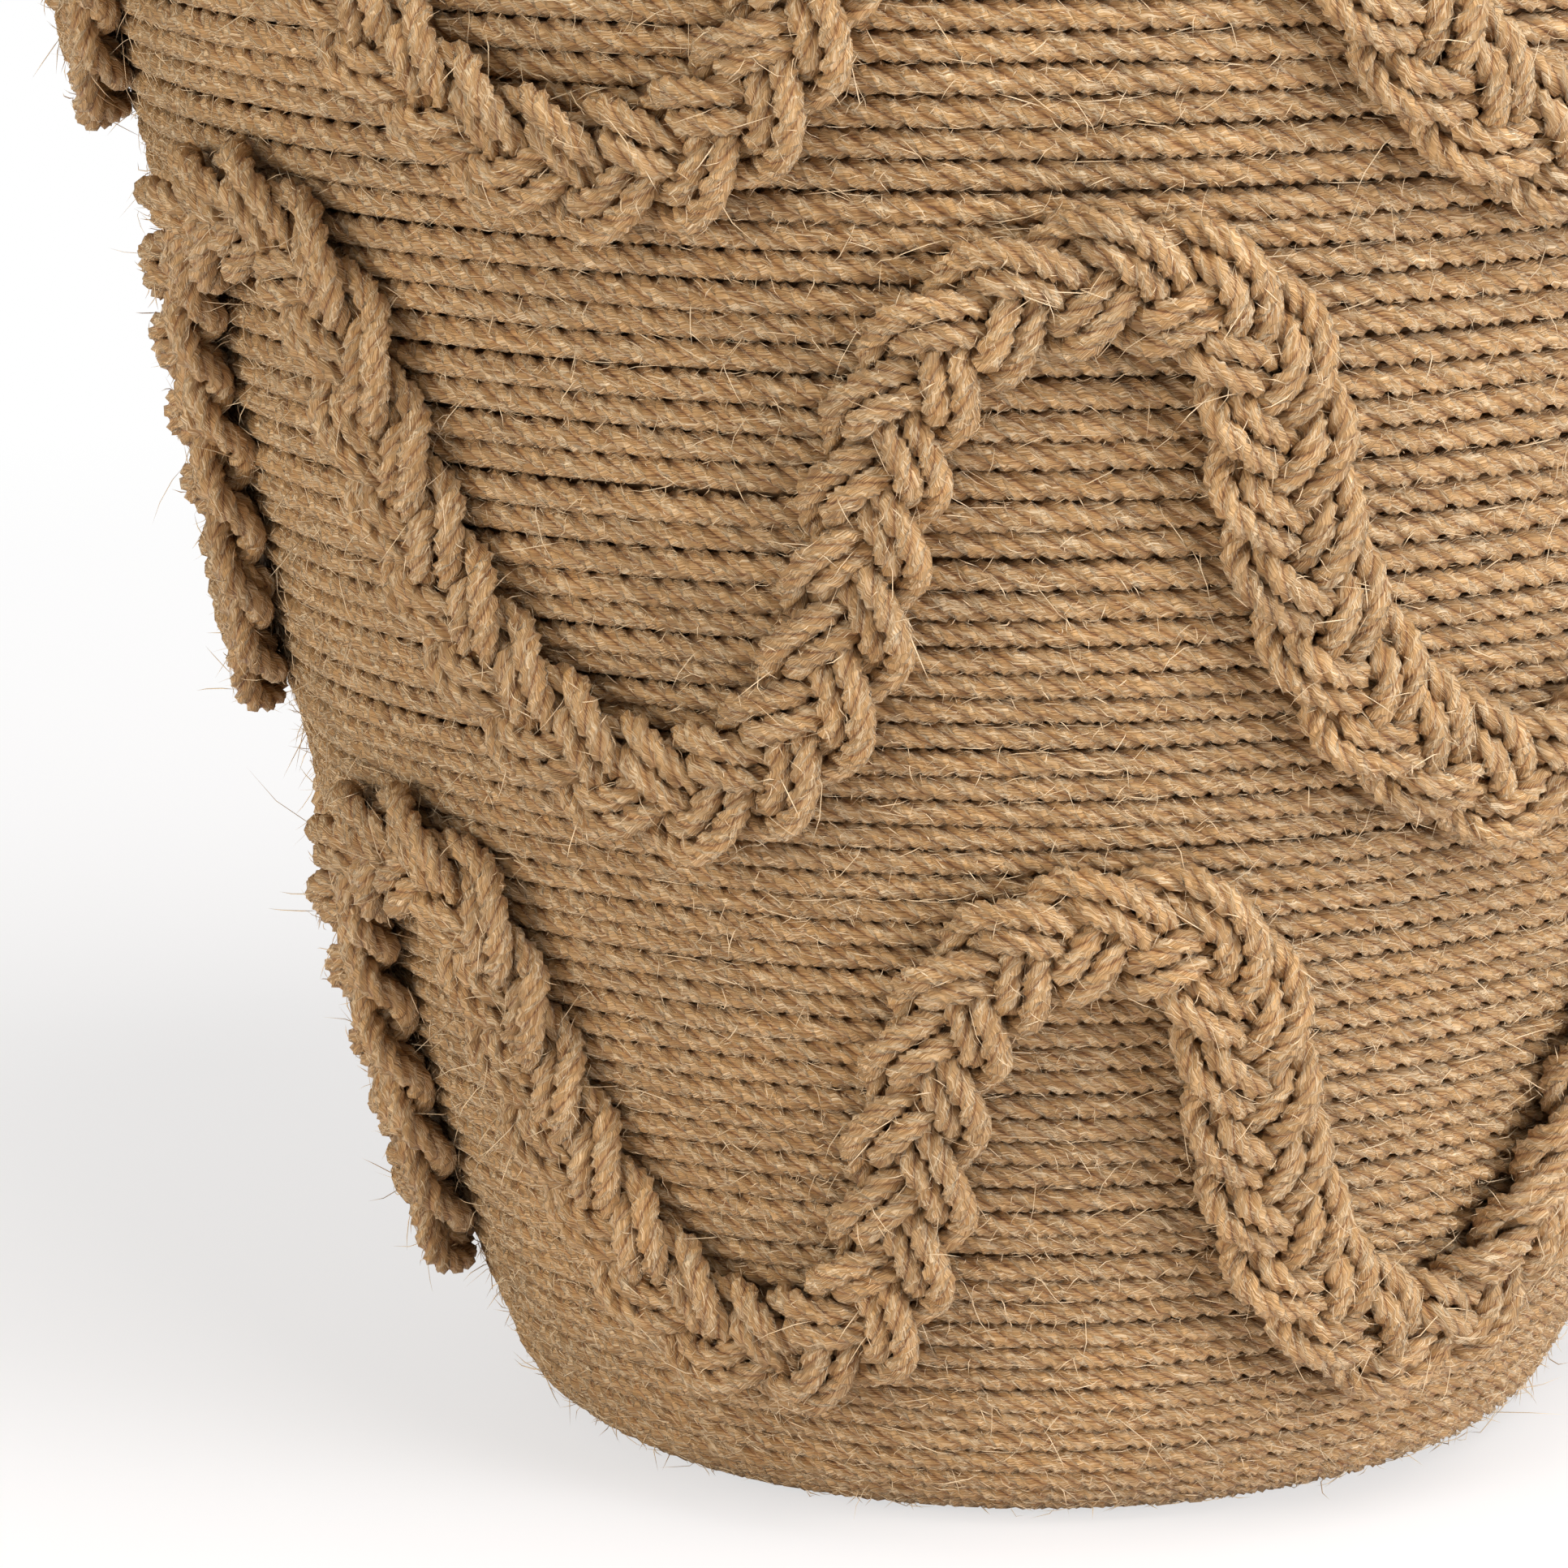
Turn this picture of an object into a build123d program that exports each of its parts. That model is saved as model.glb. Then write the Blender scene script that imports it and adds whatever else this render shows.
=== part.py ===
from build123d import *
import bisect
import math
import os

# Laundry hamper with a lift-off lid: a stiff tapered core wound with jute rope,
# three wavy braids laid round the wall, a rope bead on the rim and a rope-wound lid.
# The axis is Z, the floor is at z = 0 and the front is towards -Y. Millimetres and degrees.

# Rope
ROPE_DIAMETER = 5.2
LOWER_PITCH = 5.8
UPPER_PITCH = 6.7
PITCH_CHANGE_HEIGHT = 214.0
BEAD_DIAMETER = 8.0
GLUE_GAP = 0.3
FLOOR_CUT = 0.5

# Wall outline over the rope, from the floor up: each arc turns to the heading beside it
BASE_RADIUS = 95.5
CORNER_RADIUS = 26.5
CORNER_HEADING = 63.5
FOOT_RADIUS = 140.0
FOOT_HEADING = 69.5
BELLY_RADIUS = 1290.0
BELLY_HEADING = 76.5
FLARE_LENGTH = 154.0
SHOULDER_RADIUS = 536.0
SHOULDER_HEADING = 90.0

# Core, and the eye that the base rope starts from
CORE_WALL = 3.0
EYE_RADIUS = 9.0
EYE_STEP = 4.0
BASE_RISE = 6.0

# Wavy braids: a crowned section, then each row's middle height, swing up and down, and crest's
# turn from the front
WAVES = 6
BRAID_WIDTH = 31.0
BRAID_THICKNESS = 9.5
BRAID_EDGE = 3.0
BRAID_SHOULDER = 6.7
BRAID_ROWS = ((101.6, 51.6, 4.9), (236.4, 56.4, 3.7), (371.0, 58.0, 4.0))
BRAID_SECTIONS = 26

# Shape of one wave: how crests and legs depart from a plain wave
CREST_PINCH = -0.247
LEG_STEEPNESS = 0.277
LEG_LEAN = 0.115
CREST_FLATNESS = -4.6

# Lid
PLUG_CLEARANCE = 2.5
PLUG_DEPTH = 16.0
LID_WALL = 3.0
LID_DOME_HEADING = 13.0
LID_EDGE_RADIUS = 13.0
LID_SKIRT = 9.0
LID_PITCH = 5.8

# Lid handle: a rope loop through the lid, held by a knot below
HANDLE_ROPE_DIAMETER = 10.0
HANDLE_LEG_GAP = 0.4
HANDLE_LEG_RISE = 6.0
HANDLE_FLARE_RADIUS = 30.0
HANDLE_LOOP_RADIUS = 24.0
HANDLE_HOLE_CLEARANCE = 0.8
KNOT_RADIUS = 17.0
KNOT_HEIGHT = 22.0
KNOT_EDGE = 6.0

ROPE_RADIUS = ROPE_DIAMETER / 2
BEAD_RADIUS = BEAD_DIAMETER / 2
CORE_INSET = ROPE_DIAMETER + GLUE_GAP
SPANS_PER_TURN = 4
EASING_DIAMETERS = 3.0
GAP_SAMPLES = 10


class Outline:
    """A chain of tangent lines and arcs from a start point, read by the length along it."""

    def __init__(self, radius, height, heading=0.0):
        self.pieces = []
        self.end = (radius, height, math.radians(heading))
        self.length = 0.0

    def line(self, length):
        return self._add(length, None)

    def arc(self, radius, heading):
        """Turn left on a positive radius, right on a negative one, to a heading in degrees."""
        return self._add(radius * (math.radians(heading) - self.end[2]), radius)

    def _add(self, length, bend):
        self.pieces.append((self.length, length, bend, self.end))
        self.length += length
        self.end = self.at(self.length)
        return self

    def at(self, s):
        """Radius, height and heading in radians at the length s."""
        starts = [piece[0] for piece in self.pieces]
        start, _, bend, (r, z, heading) = self.pieces[max(bisect.bisect_right(starts, s) - 1, 0)]
        along = s - start
        if bend is None:
            return r + along * math.cos(heading), z + along * math.sin(heading), heading
        turned = heading + along / bend
        return (r + bend * (math.sin(turned) - math.sin(heading)),
                z - bend * (math.cos(turned) - math.cos(heading)), turned)

    def length_at_height(self, height):
        """The length at which a rising outline reaches a height."""
        low, high = 0.0, self.length
        for _ in range(50):
            middle = (low + high) / 2
            if self.at(middle)[1] < height:
                low = middle
            else:
                high = middle
        return low

    def edges(self):
        """The chain as edges in the XZ plane."""
        made = []
        for start, length, bend, _ in self.pieces:
            first, middle, last = (Vector(r, 0, z) for r, z, _ in
                                   map(self.at, (start, start + length / 2, start + length)))
            made.append(Line(first, last) if bend is None else ThreePointArc(first, middle, last))
        return made


def wall_outline(inset, start_radius=0.0):
    """The hamper wall from the base's middle to the rim, moved inwards by the inset."""
    return (Outline(start_radius, inset - FLOOR_CUT)
            .line(BASE_RADIUS - start_radius)
            .arc(CORNER_RADIUS - inset, CORNER_HEADING)
            .arc(FOOT_RADIUS - inset, FOOT_HEADING)
            .arc(BELLY_RADIUS - inset, BELLY_HEADING)
            .line(FLARE_LENGTH)
            .arc(SHOULDER_RADIUS - inset, SHOULDER_HEADING))


# What follows from the wall: the rim bead lies on the core's lip, the lid's plug slips
# into the mouth and the lid's bead rests on the rim bead
WALL = wall_outline(0.0)
RIM_RADIUS, RIM_HEIGHT, _ = WALL.end
MOUTH_RADIUS = RIM_RADIUS - CORE_INSET - CORE_WALL
RIM_BEAD_RADIUS = (MOUTH_RADIUS + RIM_RADIUS) / 2
RIM_BEAD_HEIGHT = RIM_HEIGHT + GLUE_GAP + BEAD_RADIUS
PLUG_RADIUS = MOUTH_RADIUS - PLUG_CLEARANCE
LID_BEAD_RADIUS = PLUG_RADIUS + GLUE_GAP + BEAD_RADIUS
LID_BEAD_HEIGHT = RIM_BEAD_HEIGHT + BEAD_DIAMETER + GLUE_GAP
LID_SKIRT_BASE = LID_BEAD_HEIGHT + BEAD_RADIUS + GLUE_GAP
LID_RADIUS = PLUG_RADIUS + CORE_INSET
LID_DOME_SINE = math.sin(math.radians(LID_DOME_HEADING))
LID_DOME_RADIUS = (LID_RADIUS - LID_EDGE_RADIUS * (1 - LID_DOME_SINE)) / LID_DOME_SINE


def lid_outline(inset, skirt, apex=0.0):
    """The lid from its apex over the edge and down the skirt, moved inwards by the inset."""
    return (Outline(0.0, apex - inset)
            .arc(inset - LID_DOME_RADIUS, -LID_DOME_HEADING)
            .arc(inset - LID_EDGE_RADIUS, -90.0)
            .line(skirt))


LID_APEX = LID_SKIRT_BASE - lid_outline(0.0, LID_SKIRT).end[1]
PLUG_SKIRT = LID_SKIRT + LID_SKIRT_BASE - RIM_HEIGHT + PLUG_DEPTH
HANDLE_LEG_OFFSET = (HANDLE_ROPE_DIAMETER + HANDLE_LEG_GAP) / 2
HANDLE_HOLE_RADIUS = HANDLE_LEG_OFFSET + HANDLE_ROPE_DIAMETER / 2 + HANDLE_HOLE_CLEARANCE
LID_EYE_RADIUS = HANDLE_HOLE_RADIUS + ROPE_DIAMETER
KNOT_TOP = LID_APEX - CORE_INSET - LID_WALL - GLUE_GAP


def revolved_shell(outer, inner):
    """The wall between two outlines that both start on the axis."""
    outer_end = Vector(outer.end[0], 0, outer.end[1])
    inner_end = Vector(inner.end[0], 0, inner.end[1])
    axis_line = Line((0, 0, inner.at(0)[1]), (0, 0, outer.at(0)[1]))
    ring = outer.edges() + [Line(outer_end, inner_end)] + inner.edges() + [axis_line]
    return revolve(make_face(ring), axis=Axis.Z)


def biarc(p0, t0, p1, t1):
    """Two tangent arcs from one point and direction to another."""
    chord = p1 - p0
    a = 2 * (1 - t0.dot(t1))
    b = 2 * chord.dot(t0 + t1)
    c = -chord.dot(chord)
    reach = (-b + math.sqrt(b * b - 4 * a * c)) / (2 * a) if a > 1e-9 else -c / b
    before = p0 + t0 * reach
    after = p1 - t1 * reach
    joint = (before + after) * 0.5
    return [TangentArc(p0, joint, tangent=t0),
            TangentArc(joint, p1, tangent=(after - before).normalized())]


class Winding:
    """Rope wound along an outline from an eye, its rows wider apart past a change."""

    def __init__(self, outline, eye, pitch, change=math.inf, later_pitch=None):
        self.outline = outline
        self.eye = eye
        self.pitch = pitch
        self.change = change
        self.later_pitch = later_pitch or pitch

    def length(self, turn):
        """Length along the outline after so many turns: the first one steps out further."""
        s = self.eye + EYE_STEP * min(turn, 1.0) + self.pitch * turn
        return s if s < self.change else self.change + (s - self.change) * self.later_pitch / self.pitch

    def turn(self, s):
        """Turns made at a length past the first turn."""
        late = max(s - self.change, 0.0)
        return (s - late - self.eye - EYE_STEP) / self.pitch + late / self.later_pitch

    def point(self, turn):
        r, z, _ = self.outline.at(self.length(turn))
        angle = 2 * math.pi * turn
        return Vector(r * math.sin(angle), -r * math.cos(angle), z)

    def direction(self, turn, step=1e-4):
        return (self.point(turn + step) - self.point(turn - step)).normalized()

    def easing(self, turn):
        """The part of a turn in which a straight end comes back to its row."""
        return EASING_DIAMETERS * ROPE_DIAMETER / (2 * math.pi * self.outline.at(self.length(turn))[0])

    def rope(self, first, last, name):
        """One unbroken tube between two turns, straight at both ends for one diameter."""
        start, end = self.point(first), self.point(last)
        start_way, end_way = self.direction(first), self.direction(last)
        stations = [(start + start_way * ROPE_DIAMETER, start_way)]
        bent_from, bent_to = first + self.easing(first), last - self.easing(last)
        spans = math.ceil((bent_to - bent_from) * SPANS_PER_TURN)
        for span in range(spans + 1):
            turn = bent_from + (bent_to - bent_from) * span / spans
            stations.append((self.point(turn), self.direction(turn)))
        stations.append((end - end_way * ROPE_DIAMETER, end_way))
        path = [Line(start, stations[0][0])]
        for here, there in zip(stations, stations[1:]):
            path += biarc(*here, *there)
        path.append(Line(stations[-1][0], end))
        report_gap(name, path)
        section = Plane(origin=start, z_dir=start_way) * Circle(ROPE_RADIUS)
        return sweep(section, path=Wire(path))


def report_gap(name, path):
    """Print the least gap between neighbouring rows, measured on points of the path."""
    points = [edge @ (k / GAP_SAMPLES) for edge in path for k in range(GAP_SAMPLES)]
    row = 2 * SPANS_PER_TURN * GAP_SAMPLES
    least = min((points[i] - points[j]).length
                for i in range(len(points))
                for j in range(i + row // 2, min(i + row + row // 2, len(points))))
    print(f"{name}: {sum(edge.length for edge in path) / 1000:.2f} m of rope, "
          f"least gap to itself {least - ROPE_DIAMETER:.2f} mm")


def floor_flat(solid):
    """Keep what is above the floor."""
    return split(solid, bisect_by=Plane.XY, keep=Keep.TOP)


def bead(radius, height):
    """A ring of thicker rope."""
    return Pos(0, 0, height) * Torus(radius, BEAD_RADIUS)


def wave_point(row, t):
    """A point of a braid's route on the wall at the wave angle t, and the wall's normal there."""
    middle, swing, crest = row
    advance = (t + CREST_PINCH * math.sin(t)
               + LEG_STEEPNESS * math.sin(2 * t) + LEG_LEAN * math.cos(2 * t))
    angle = math.radians(crest) + advance / WAVES
    height = middle + swing * math.cos(t) + CREST_FLATNESS * math.cos(2 * t)
    r, z, heading = WALL.at(WALL.length_at_height(height))
    outward = Vector(math.sin(angle), -math.cos(angle), 0)
    return outward * r + Vector(0, 0, z), outward * math.sin(heading) - Vector(0, 0, math.cos(heading))


def braid_section(row, t, step=1e-3):
    """The braid's crowned section, square to its route and flat on the wall."""
    point, normal = wave_point(row, t)
    along = (wave_point(row, t + step)[0] - wave_point(row, t - step)[0]).normalized()
    plane = Plane(origin=point + normal * GLUE_GAP, x_dir=normal.cross(along), z_dir=along)
    side = BRAID_WIDTH / 2
    foot = side - BRAID_EDGE
    outline = [Line((foot, 0), (-foot, 0)),
               ThreePointArc((-foot, 0), (-side, BRAID_SHOULDER / 2), (-foot, BRAID_SHOULDER)),
               ThreePointArc((-foot, BRAID_SHOULDER), (0, BRAID_THICKNESS), (foot, BRAID_SHOULDER)),
               ThreePointArc((foot, BRAID_SHOULDER), (side, BRAID_SHOULDER / 2), (foot, 0))]
    return plane * make_face(outline)


def wave_braid(row):
    """One closed braid: a wave lofted along its route and repeated round the wall."""
    wave = loft([braid_section(row, 2 * math.pi * k / BRAID_SECTIONS) for k in range(BRAID_SECTIONS + 1)])
    turns = [Rot(0, 0, 360 * k / WAVES) * wave for k in range(WAVES)]
    return turns[0].fuse(*turns[1:])


def lid_core():
    """The domed lid shell with its plug and the hole for the handle."""
    shell = revolved_shell(lid_outline(CORE_INSET, PLUG_SKIRT, LID_APEX),
                           lid_outline(CORE_INSET + LID_WALL, PLUG_SKIRT, LID_APEX))
    return shell - Pos(0, 0, LID_APEX - CORE_INSET) * Cylinder(HANDLE_HOLE_RADIUS, LID_WALL * 4)


def lid_handle():
    """A rope loop whose two ends go down through the lid to the knot."""
    flare = math.degrees(math.acos((HANDLE_LEG_OFFSET + HANDLE_FLARE_RADIUS)
                                   / (HANDLE_FLARE_RADIUS + HANDLE_LOOP_RADIUS)))
    leg = LID_APEX + HANDLE_LEG_RISE - KNOT_TOP
    loop = (Outline(HANDLE_LEG_OFFSET, KNOT_TOP, 90.0).line(leg)
            .arc(-HANDLE_FLARE_RADIUS, 90.0 - flare)
            .arc(HANDLE_LOOP_RADIUS, 270.0 + flare)
            .arc(-HANDLE_FLARE_RADIUS, 270.0).line(leg))
    section = Pos(HANDLE_LEG_OFFSET, 0, KNOT_TOP) * Circle(HANDLE_ROPE_DIAMETER / 2)
    return sweep(section, path=Wire(loop.edges()))


def handle_knot():
    """The knot under the lid, drawn tight into a rounded bead."""
    body = Pos(0, 0, KNOT_TOP - KNOT_HEIGHT / 2) * Cylinder(KNOT_RADIUS, KNOT_HEIGHT)
    return fillet(body.edges().filter_by(GeomType.CIRCLE), KNOT_EDGE)


def wall_ropes():
    """The base coil and the four lengths of rope wound up the wall, end to end."""
    outline = wall_outline(ROPE_RADIUS, EYE_RADIUS)
    change = outline.length_at_height(PITCH_CHANGE_HEIGHT)
    winding = Winding(outline, 0.0, LOWER_PITCH, change, UPPER_PITCH)
    base = winding.turn(BASE_RADIUS - EYE_RADIUS + BASE_RISE)
    middle = winding.turn(change)
    top = winding.turn(outline.length - ROPE_RADIUS)
    ends = (base, (base + middle) / 2, middle, (middle + top) / 2, top)
    ropes = {"base_rope": floor_flat(winding.rope(0.0, base, "base_rope"))}
    for number, (first, last) in enumerate(zip(ends, ends[1:]), 1):
        name = f"wall_rope_{number}"
        ropes[name] = winding.rope(first, last, name)
    return ropes


def lid_ropes():
    """The two lengths of rope wound over the lid, end to end."""
    outline = lid_outline(ROPE_RADIUS, LID_SKIRT, LID_APEX)
    winding = Winding(outline, LID_EYE_RADIUS, LID_PITCH)
    edge = winding.turn(outline.length - ROPE_RADIUS)
    return {"lid_rope_1": winding.rope(0.0, edge / 2, "lid_rope_1"),
            "lid_rope_2": winding.rope(edge / 2, edge, "lid_rope_2")}


def hamper():
    """Every node of the hamper by name."""
    nodes = {"core_shell": revolved_shell(wall_outline(CORE_INSET), wall_outline(CORE_INSET + CORE_WALL)),
             "rim_rope": bead(RIM_BEAD_RADIUS, RIM_BEAD_HEIGHT),
             "lid_core": lid_core(),
             "lid_edge_rope": bead(LID_BEAD_RADIUS, LID_BEAD_HEIGHT),
             "lid_handle": lid_handle(),
             "handle_knot": handle_knot()}
    nodes |= wall_ropes() | lid_ropes()
    for number, row in enumerate(BRAID_ROWS, 1):
        nodes[f"wave_braid_{number}"] = wave_braid(row)
    return nodes


os.makedirs("parts", exist_ok=True)
for node_name, solid in hamper().items():
    export_step(solid, f"parts/{node_name}.step")
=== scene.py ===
"""Laundry hamper with a lift-off lid: laid jute rope, wavy braids, loose fibres and a board core.

Metres and degrees. The axis is Z, the floor is at z = 0 and the front is towards -Y.
"""
import math

import bmesh
import bpy
import numpy as np
from mathutils import Matrix, Vector


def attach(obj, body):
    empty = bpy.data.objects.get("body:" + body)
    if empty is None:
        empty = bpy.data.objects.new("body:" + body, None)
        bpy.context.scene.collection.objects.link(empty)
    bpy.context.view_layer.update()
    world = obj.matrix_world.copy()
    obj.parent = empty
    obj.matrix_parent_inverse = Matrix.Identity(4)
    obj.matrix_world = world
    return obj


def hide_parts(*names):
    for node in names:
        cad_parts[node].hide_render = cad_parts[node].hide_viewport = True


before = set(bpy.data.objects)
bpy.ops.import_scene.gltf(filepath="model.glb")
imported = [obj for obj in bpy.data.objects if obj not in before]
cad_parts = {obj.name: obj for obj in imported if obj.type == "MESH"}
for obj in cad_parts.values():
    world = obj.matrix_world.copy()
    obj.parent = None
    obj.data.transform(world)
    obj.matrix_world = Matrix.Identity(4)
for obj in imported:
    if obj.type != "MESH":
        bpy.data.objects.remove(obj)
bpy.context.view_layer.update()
MM = 0.001
RANDOM_SEED = 20
rng = np.random.default_rng(RANDOM_SEED)

# Wall outline over the rope, from the floor up: each arc turns to the heading beside it
BASE_RADIUS = 95.5 * MM
CORNER_RADIUS, CORNER_HEADING = 26.5 * MM, 63.5
FOOT_RADIUS, FOOT_HEADING = 140 * MM, 69.5
BELLY_RADIUS, BELLY_HEADING = 1290 * MM, 76.5
FLARE_LENGTH = 154 * MM
SHOULDER_RADIUS, SHOULDER_HEADING = 536 * MM, 90.0

# Rope as it was wound: the rows are wider apart above the change
ROPE_RADIUS = 2.6 * MM
LOWER_PITCH, UPPER_PITCH, LID_PITCH = 5.8 * MM, 6.7 * MM, 5.8 * MM
PITCH_CHANGE_HEIGHT = 214 * MM
FLOOR_CUT = 0.5 * MM
EYE_RADIUS, EYE_STEP, BASE_RISE = 9 * MM, 4 * MM, 6 * MM
BEAD_RADIUS = 4 * MM
GLUE_GAP = 0.3 * MM

# Rope as it shows: soft plies swell past the pressed size
LOWER_SWELL, UPPER_SWELL, LID_SWELL = 3.25 * MM, 3.65 * MM, 3.25 * MM
LOWER_LAY, UPPER_LAY, LID_LAY = 21 * MM, 23 * MM, 21 * MM
BEAD_SWELL, BEAD_SINK = 4.6 * MM, 1.1 * MM
BEAD_LAY, HANDLE_LAY, KNOT_LAY = 30 * MM, 34 * MM, 28 * MM
TAIL_TURNS, TAIL_END = 0.95, 0.3
RINGS_PER_LAY = 8.5

# How rope wanders: the length between two targets, and how far off a target usually is
SIZE_DRIFT = (40 * MM, 0.025)
ROW_DRIFT = (90 * MM, 0.3 * MM)
BULGE_DRIFT = (60 * MM, 0.22 * MM)
BRAID_PHASE_DRIFT, BRAID_CENTRE_DRIFT = (40 * MM, 0.12), (60 * MM, 0.5 * MM)
STRAND_REACH_DRIFT, STRAND_ROLL_DRIFT = (30 * MM, 0.04), (30 * MM, 0.22)
ROPE_SPLAY_DRIFT, ROPE_RISE_DRIFT = (25 * MM, 0.2 * MM), (20 * MM, 0.25 * MM)

# Wavy braids: middle height, swing and crest azimuth of each row, and the shape of a wave
WAVES = 6
BRAID_ROWS = ((101.6 * MM, 51.6 * MM, 4.9), (236.4 * MM, 56.4 * MM, 3.7), (371 * MM, 58 * MM, 4.0))
CREST_PINCH, LEG_STEEPNESS, LEG_LEAN = -0.247, 0.277, 0.115
CREST_FLATNESS = -4.6 * MM
BRAID_PERIOD = 56 * MM
BRAID_REACH = 9.5 * MM
BRAID_LIFT = 3.0 * MM
CROSSING_SHARPNESS = 1.5
BRAID_STRANDS = 3
STRAND_ROPES, STRAND_ROPE_STEP = 2, 5.9 * MM
BRAID_ROPE_RADIUS = 3.45 * MM
BRAID_ROPE_LAY = 18 * MM

# Lid and its rope loop
CORE_INSET, CORE_WALL = 5.5 * MM, 3 * MM
PLUG_CLEARANCE = 2.5 * MM
LID_DOME_HEADING, LID_EDGE_RADIUS, LID_SKIRT, LID_WALL = 13.0, 13 * MM, 9 * MM, 3 * MM
HANDLE_RADIUS = 5 * MM
HANDLE_LEG_GAP, HANDLE_LEG_RISE, HANDLE_TUCK = 0.4 * MM, 6 * MM, 8 * MM
HANDLE_FLARE_RADIUS, HANDLE_LOOP_RADIUS = 30 * MM, 24 * MM
HANDLE_HOLE_CLEARANCE = 0.8 * MM
KNOT_RADIUS, KNOT_HEIGHT = 17 * MM, 22 * MM
KNOT_ROPE_RADIUS, KNOT_WEAVE = 4.4 * MM, 4.2 * MM
KNOT_TURNS, KNOT_BIGHTS, KNOT_RINGS = 3, 4, 150
COLLAR_RADIUS, COLLAR_ROPE_RADIUS, COLLAR_DROP = 12.8 * MM, 3.6 * MM, 2.4 * MM


def arc(radius, start, end):
    """An outline's run on an arc: its length and the heading that it ends on."""
    return abs(radius * math.radians(end - start)), end


def outline(radius, height, heading, runs, step=0.1 * MM):
    """Length, radius, height and heading along a chain of lines and arcs."""
    stops = np.cumsum([0.0] + [length for length, _ in runs])
    turns = np.radians([heading] + [end for _, end in runs])
    s = np.linspace(0, stops[-1], round(stops[-1] / step) + 1)
    way = np.interp(s, stops, turns)
    middle = (way[1:] + way[:-1]) / 2
    r = radius + np.concatenate([[0], np.cumsum(np.diff(s) * np.cos(middle))])
    z = height + np.concatenate([[0], np.cumsum(np.diff(s) * np.sin(middle))])
    return s, r, z, way


def wall_outline(inset, start=0.0):
    """The hamper wall from the base to the rim, moved inwards by the inset."""
    return outline(start, inset - FLOOR_CUT, 0.0, [
        (BASE_RADIUS - start, 0.0),
        arc(CORNER_RADIUS - inset, 0.0, CORNER_HEADING),
        arc(FOOT_RADIUS - inset, CORNER_HEADING, FOOT_HEADING),
        arc(BELLY_RADIUS - inset, FOOT_HEADING, BELLY_HEADING),
        (FLARE_LENGTH, BELLY_HEADING),
        arc(SHOULDER_RADIUS - inset, BELLY_HEADING, SHOULDER_HEADING)])


WALL = wall_outline(0.0)
RIM_RADIUS, RIM_HEIGHT = WALL[1][-1], WALL[2][-1]
MOUTH_RADIUS = RIM_RADIUS - CORE_INSET - CORE_WALL
RIM_BEAD = ((MOUTH_RADIUS + RIM_RADIUS) / 2, RIM_HEIGHT + GLUE_GAP + BEAD_RADIUS)
PLUG_RADIUS = MOUTH_RADIUS - PLUG_CLEARANCE
LID_BEAD = (PLUG_RADIUS + GLUE_GAP + BEAD_RADIUS, RIM_BEAD[1] + 2 * BEAD_RADIUS + GLUE_GAP)
LID_SKIRT_BASE = LID_BEAD[1] + BEAD_RADIUS + GLUE_GAP
LID_RADIUS = PLUG_RADIUS + CORE_INSET
LID_DOME_SINE = math.sin(math.radians(LID_DOME_HEADING))
LID_DOME_RADIUS = (LID_RADIUS - LID_EDGE_RADIUS * (1 - LID_DOME_SINE)) / LID_DOME_SINE


def lid_outline(inset, apex=0.0):
    """The lid from its apex over the edge and down the skirt, moved inwards by the inset."""
    return outline(0.0, apex - inset, 0.0, [
        arc(LID_DOME_RADIUS - inset, 0.0, -LID_DOME_HEADING),
        arc(LID_EDGE_RADIUS - inset, -LID_DOME_HEADING, -90.0),
        (LID_SKIRT, -90.0)])


LID_APEX = LID_SKIRT_BASE - lid_outline(0.0)[2][-1]
HANDLE_LEG_OFFSET = HANDLE_RADIUS + HANDLE_LEG_GAP / 2
LID_EYE_RADIUS = HANDLE_LEG_OFFSET + HANDLE_RADIUS + HANDLE_HOLE_CLEARANCE + 2 * ROPE_RADIUS
KNOT_TOP = LID_APEX - CORE_INSET - LID_WALL - GLUE_GAP


def drift(at, span, amount):
    """A smooth random wander along a length, with a new target every span."""
    targets = rng.normal(0, amount, int(at[-1] / span) + 3)
    share, index = np.modf(at / span)
    index = index.astype(int)
    share = share * share * (3 - 2 * share)
    return targets[index] * (1 - share) + targets[index + 1] * share


def run_lengths(points):
    """The length along a line of points, from its start."""
    return np.concatenate([[0], np.cumsum(np.linalg.norm(np.diff(points, axis=0), axis=1))])


def unit(vectors):
    """Vectors of length 1 that point the same ways."""
    return vectors / np.linalg.norm(vectors, axis=-1, keepdims=True)


def resampled(values, length, at):
    """Points or vectors known at some lengths along a line, read at others."""
    return np.column_stack([np.interp(at, length, axis) for axis in values.T])


def even_points(points, count):
    """A line's points again, so many of them and evenly spaced."""
    length = run_lengths(points)
    return resampled(points, length, np.linspace(0, length[-1], count))


class Rope:
    """A rope's line: even points, the way out of the surface that it lies on, its lay and radius."""

    def __init__(self, points, outward, lay, radius, start=0.0, closed=False):
        self.points, self.outward, self.closed = points, outward, closed
        if closed:
            laps = round(run_lengths(np.vstack([points, points[:1]]))[-1] / lay)
            self.turn = 2 * math.pi * laps * np.arange(len(points)) / len(points)
            self.radius = np.full(len(points), radius)
        else:
            length = run_lengths(points)
            self.turn = start + 2 * math.pi * length / lay
            self.radius = radius * (1 + drift(length, *SIZE_DRIFT))


def ring_count(length, lay):
    """Points that a length of rope needs to show its lay."""
    return max(math.ceil(length * RINGS_PER_LAY / lay), 4)


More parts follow.
